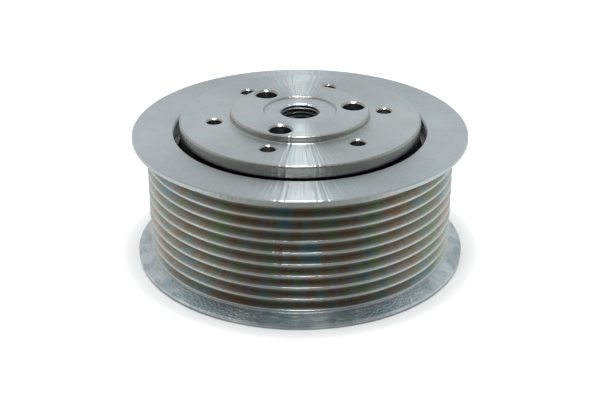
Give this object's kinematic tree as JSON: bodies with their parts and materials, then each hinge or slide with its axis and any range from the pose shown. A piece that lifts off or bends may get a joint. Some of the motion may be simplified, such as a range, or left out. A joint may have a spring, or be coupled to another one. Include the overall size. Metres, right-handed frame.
{
  "type": "electromagnetic clutch",
  "caption": "Electromagnetic clutch: flanged ribbed belt pulley on a double-row bearing, stationary coil, and a sprung armature under a bossed front plate.",
  "frame": {"origin": "centre of the coil plate's rear mounting face, on the clutch axis", "axes": "+Z along the clutch axis, from the mounting face towards the front plate's boss; +X through one puller hole"},
  "size_m": [0.098, 0.098, 0.0445],
  "materials": {
    "pulley_zinc": "turned steel, blue-white zinc plate",
    "plate_zinc": "turned steel, zinc plate",
    "hub_steel": "turned steel, bare",
    "rotor_steel": "turned low-carbon steel",
    "armature_steel": "ground low-carbon steel, dark phosphate",
    "friction_lining": "moulded friction compound",
    "bearing_steel": "ground bearing steel",
    "seal_rubber": "moulded nitrile",
    "cage_nylon": "glass-filled nylon",
    "spring_steel": "blued spring steel",
    "rivet_steel": "plain steel",
    "black_rubber": "moulded rubber",
    "coil_steel": "pressed steel, zinc plate",
    "bobbin_nylon": "moulded nylon",
    "copper_wire": "enamelled copper wire",
    "coil_tape": "polyester tape",
    "potting_resin": "poured epoxy"
  },
  "bodies": {
    "stator": {"coil_mounting_plate": "coil_steel", "coil_housing": "coil_steel", "coil_bobbin": "bobbin_nylon", "coil_winding": "copper_wire", "coil_tape": "coil_tape", "coil_potting": "potting_resin", "lead_grommet": "black_rubber", "bearing_inner_ring": "bearing_steel"},
    "pulley": {"belt_pulley": "pulley_zinc", "rotor": "rotor_steel", "friction_lining": "friction_lining", "bearing_outer_ring": "bearing_steel", "bearing_seal_rear": "seal_rubber", "bearing_seal_front": "seal_rubber", "bearing_retaining_ring": "spring_steel"},
    "cage_rear": {"ball_row_rear": "bearing_steel", "ball_cage_rear": "cage_nylon"},
    "cage_front": {"ball_row_front": "bearing_steel", "ball_cage_front": "cage_nylon"},
    "hub_assembly": {"hub": "hub_steel", "front_plate": "plate_zinc", "leaf_springs": "spring_steel", "spring_rivets": "rivet_steel", "stop_buffers": "black_rubber"},
    "armature": {"armature_disc": "armature_steel", "armature_rivets": "rivet_steel"}
  },
  "joints": [
    {"name": "pulley_spin", "type": "hinge", "parent": "stator", "child": "pulley", "pos_m": [0, 0, 0.0135], "axis": [0, 0, 1], "continuous": true},
    {"name": "cage_rear_spin", "type": "hinge", "parent": "stator", "child": "cage_rear", "pos_m": [0, 0, 0.0097], "axis": [0, 0, 1], "continuous": true},
    {"name": "cage_front_spin", "type": "hinge", "parent": "stator", "child": "cage_front", "pos_m": [0, 0, 0.0173], "axis": [0, 0, 1], "continuous": true},
    {"name": "hub_spin", "type": "hinge", "parent": "stator", "child": "hub_assembly", "pos_m": [0, 0, 0.034], "axis": [0, 0, 1], "continuous": true},
    {"name": "armature_travel", "type": "slide", "parent": "hub_assembly", "child": "armature", "axis": [0, 0, 1], "range_m": [-0.0005, 0], "stiffness_N_per_m": 4000, "springref_m": 0.0005, "deforming": ["leaf_springs"]}
  ],
  "couplings": [
    {"joint": "cage_rear_spin", "follows": "pulley_spin", "ratio": 0.5825},
    {"joint": "cage_front_spin", "follows": "pulley_spin", "ratio": 0.5825}
  ]
}
